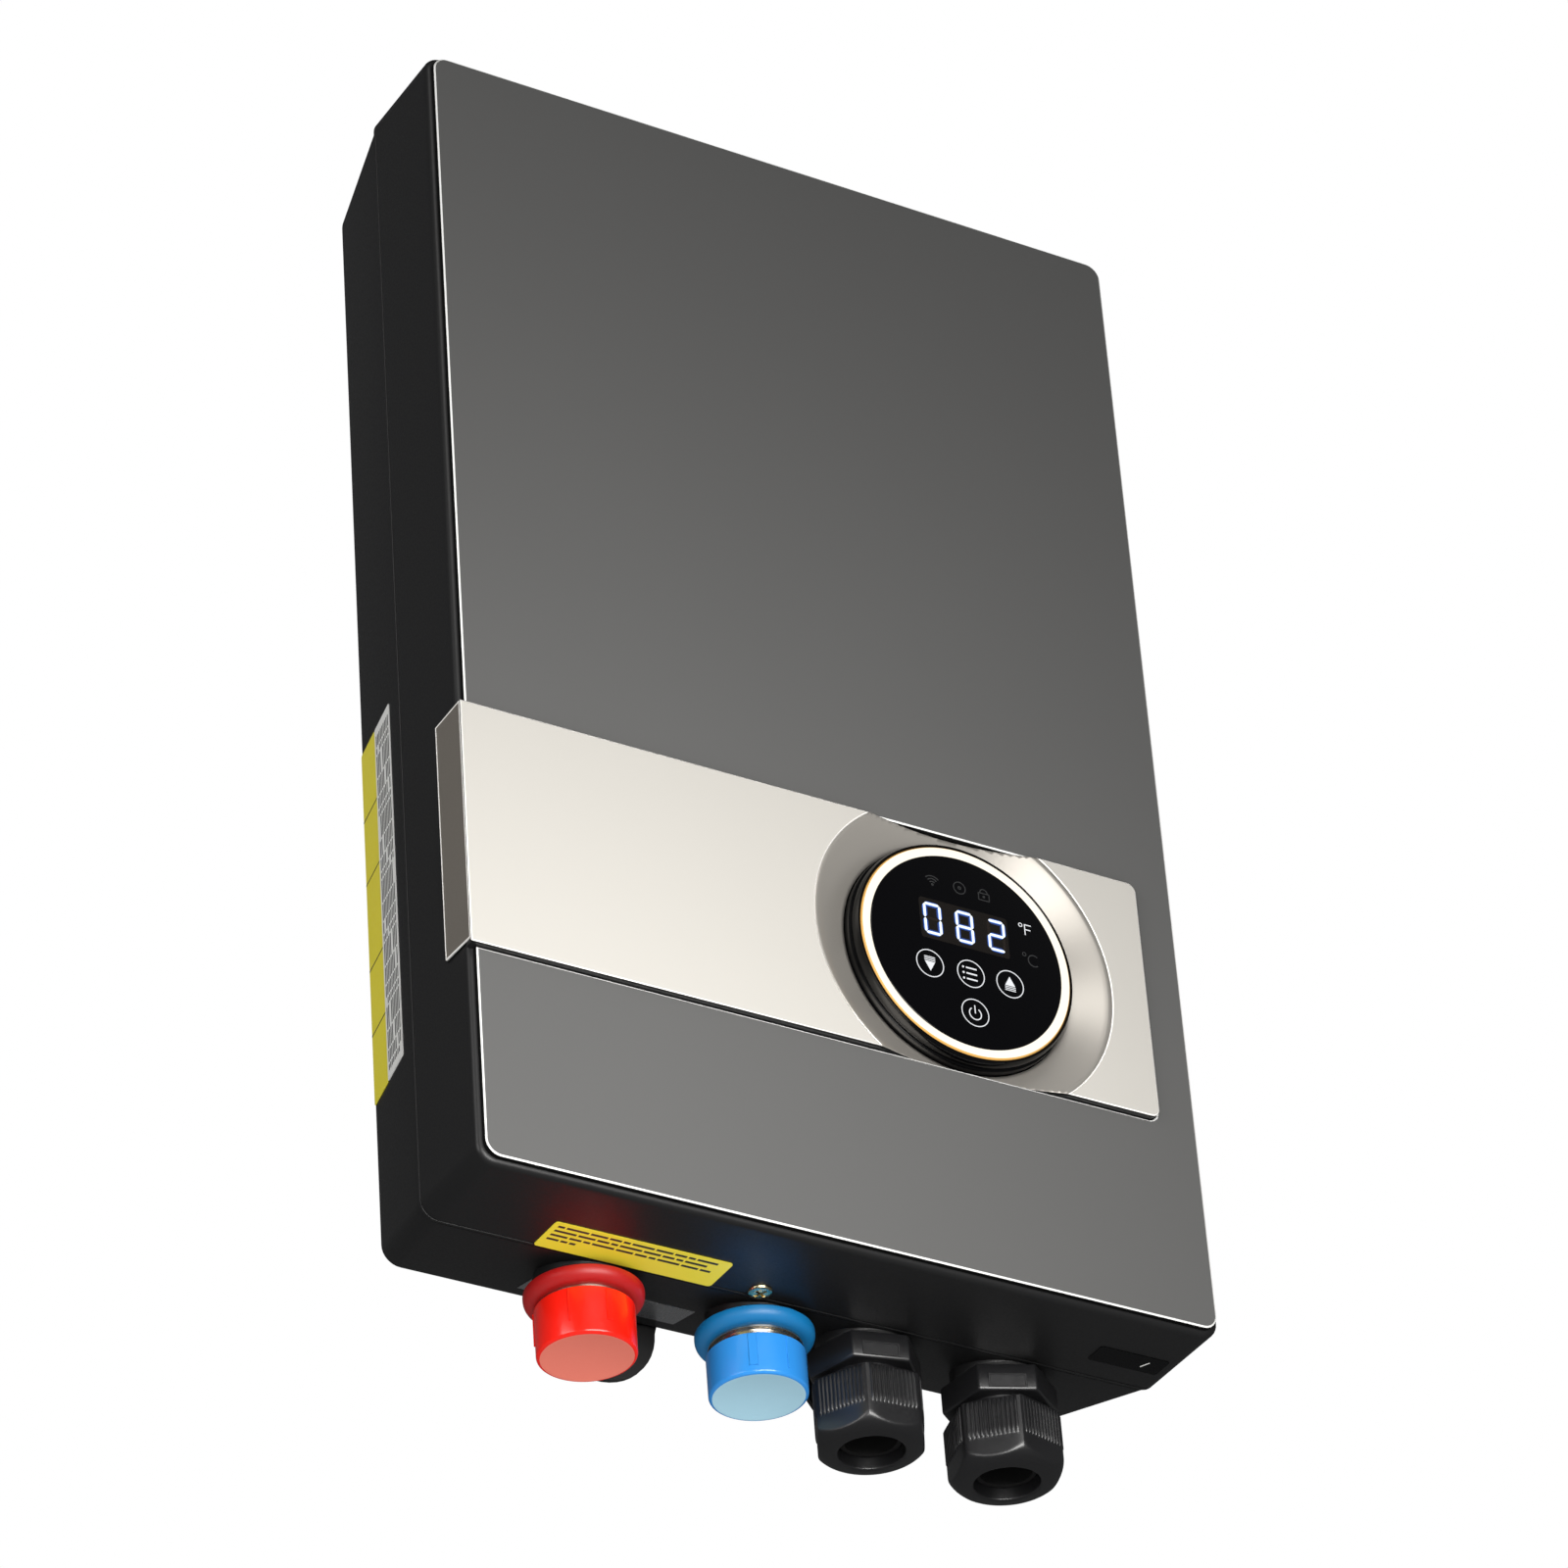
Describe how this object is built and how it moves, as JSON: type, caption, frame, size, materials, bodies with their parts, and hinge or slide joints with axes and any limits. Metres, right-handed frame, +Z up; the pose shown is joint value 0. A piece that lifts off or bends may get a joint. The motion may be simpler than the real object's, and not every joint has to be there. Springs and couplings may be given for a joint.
{
  "type": "electric tankless water heater",
  "caption": "Slim wall-hung electric tankless water heater with glossy front, champagne display band, capped water fittings and cable glands below.",
  "frame": {"origin": "centre of the wall plate's back face, at the middle of the front cover's width and height", "axes": "+Z up along the case, -Y out of the wall towards the user, +X to the right as seen by the user"},
  "size_m": [0.254, 0.083, 0.4559],
  "materials": {
    "black_steel": "satin",
    "shell_black": "satin",
    "panel_grey": "gloss",
    "champagne": "satin metallic",
    "black_plastic": "satin",
    "light_ring": "lit",
    "dark_glass": "gloss",
    "circuit_green": "satin",
    "zinc_yellow": "zinc plated",
    "steel": "plain",
    "stainless": "turned",
    "brass": "turned",
    "copper": "drawn",
    "cap_red": "gloss",
    "cap_blue": "gloss",
    "marker_red": "satin",
    "marker_blue": "satin",
    "button_red": "gloss",
    "gland_nylon": "gloss",
    "seal_rubber": "matte",
    "label_yellow": "satin",
    "label_white": "satin",
    "label_silver": "foil",
    "ivory_plastic": "satin",
    "relay_blue": "satin",
    "module_black": "satin",
    "aluminium": "extruded",
    "lead_red": "satin",
    "lead_grey": "satin"
  },
  "bodies": {
    "chassis": {"mounting_plate": "black_steel", "rear_shell": "shell_black", "chassis_screws": "steel", "side_label": "label_white", "fitting_plate": "label_silver", "hot_nipple": "stainless", "cold_nipple": "stainless", "hot_marker_ring": "marker_red", "cold_marker_ring": "marker_blue", "sealing_washers": "seal_rubber", "port_nuts": "brass", "outlet_pipe": "copper", "outlet_probe": "brass", "flow_sensor_body": "black_plastic", "inlet_filter": "steel", "inlet_pipe": "copper", "canister_hot": "copper", "canister_cold": "copper", "crossover_pipe": "copper", "element_hot": "steel", "element_cold": "steel", "head_gaskets": "seal_rubber", "head_bolts": "steel", "canister_clamps": "steel", "limit_thermostats": "ivory_plastic", "power_board": "circuit_green", "board_screws": "steel", "relays": "relay_blue", "power_module": "module_black", "heat_sink": "aluminium", "triacs": "module_black", "terminal_blocks": "ivory_plastic", "terminal_screws": "brass", "ground_stud": "brass", "supply_leads": "lead_red", "element_leads": "lead_red", "display_cable": "lead_grey", "gland_body_a": "gland_nylon", "gland_body_b": "gland_nylon", "gland_seals": "seal_rubber", "gland_locknuts": "gland_nylon"},
    "cover": {"front_cover": "black_steel", "front_panel": "panel_grey", "band_carrier": "black_plastic", "accent_band": "champagne", "display_housing": "black_plastic", "light_ring": "light_ring", "display_glass": "dark_glass", "digit_module": "black_plastic", "display_board": "circuit_green", "cover_screw": "zinc_yellow", "cover_nut": "steel", "underside_label": "label_yellow"},
    "hot_cap": {"hot_cap": "cap_red"},
    "cold_cap": {"cold_cap": "cap_blue"},
    "gland_nut_a": {"gland_nut_a": "gland_nylon"},
    "gland_nut_b": {"gland_nut_b": "gland_nylon"},
    "flow_turbine": {"flow_turbine": "ivory_plastic"},
    "reset_button_hot": {"reset_button_hot": "button_red"},
    "reset_button_cold": {"reset_button_cold": "button_red"}
  },
  "joints": [
    {"name": "cover_slide", "type": "slide", "parent": "chassis", "child": "cover", "axis": [0, -1, 0], "range_m": [0, 0.12]},
    {"name": "hot_cap_pull", "type": "slide", "parent": "chassis", "child": "hot_cap", "axis": [0, 0, -1], "range_m": [0, 0.08]},
    {"name": "cold_cap_pull", "type": "slide", "parent": "chassis", "child": "cold_cap", "axis": [0, 0, -1], "range_m": [0, 0.08]},
    {"name": "gland_nut_a_turn", "type": "hinge", "parent": "chassis", "child": "gland_nut_a", "pos_m": [0.032, -0.027, -0.2245], "axis": [0, 0, -1], "range_deg": [0, 720]},
    {"name": "gland_nut_b_turn", "type": "hinge", "parent": "chassis", "child": "gland_nut_b", "pos_m": [0.0794, -0.027, -0.2245], "axis": [0, 0, -1], "range_deg": [0, 720]},
    {"name": "flow_turbine_spin", "type": "hinge", "parent": "chassis", "child": "flow_turbine", "pos_m": [-0.006, -0.027, -0.1585], "axis": [0, 0, 1], "continuous": true},
    {"name": "reset_button_hot_press", "type": "slide", "parent": "chassis", "child": "reset_button_hot", "axis": [0, 1, 0], "range_m": [0, 0.0015], "stiffness_N_per_m": 400},
    {"name": "reset_button_cold_press", "type": "slide", "parent": "chassis", "child": "reset_button_cold", "axis": [0, 1, 0], "range_m": [0, 0.0015], "stiffness_N_per_m": 400}
  ]
}
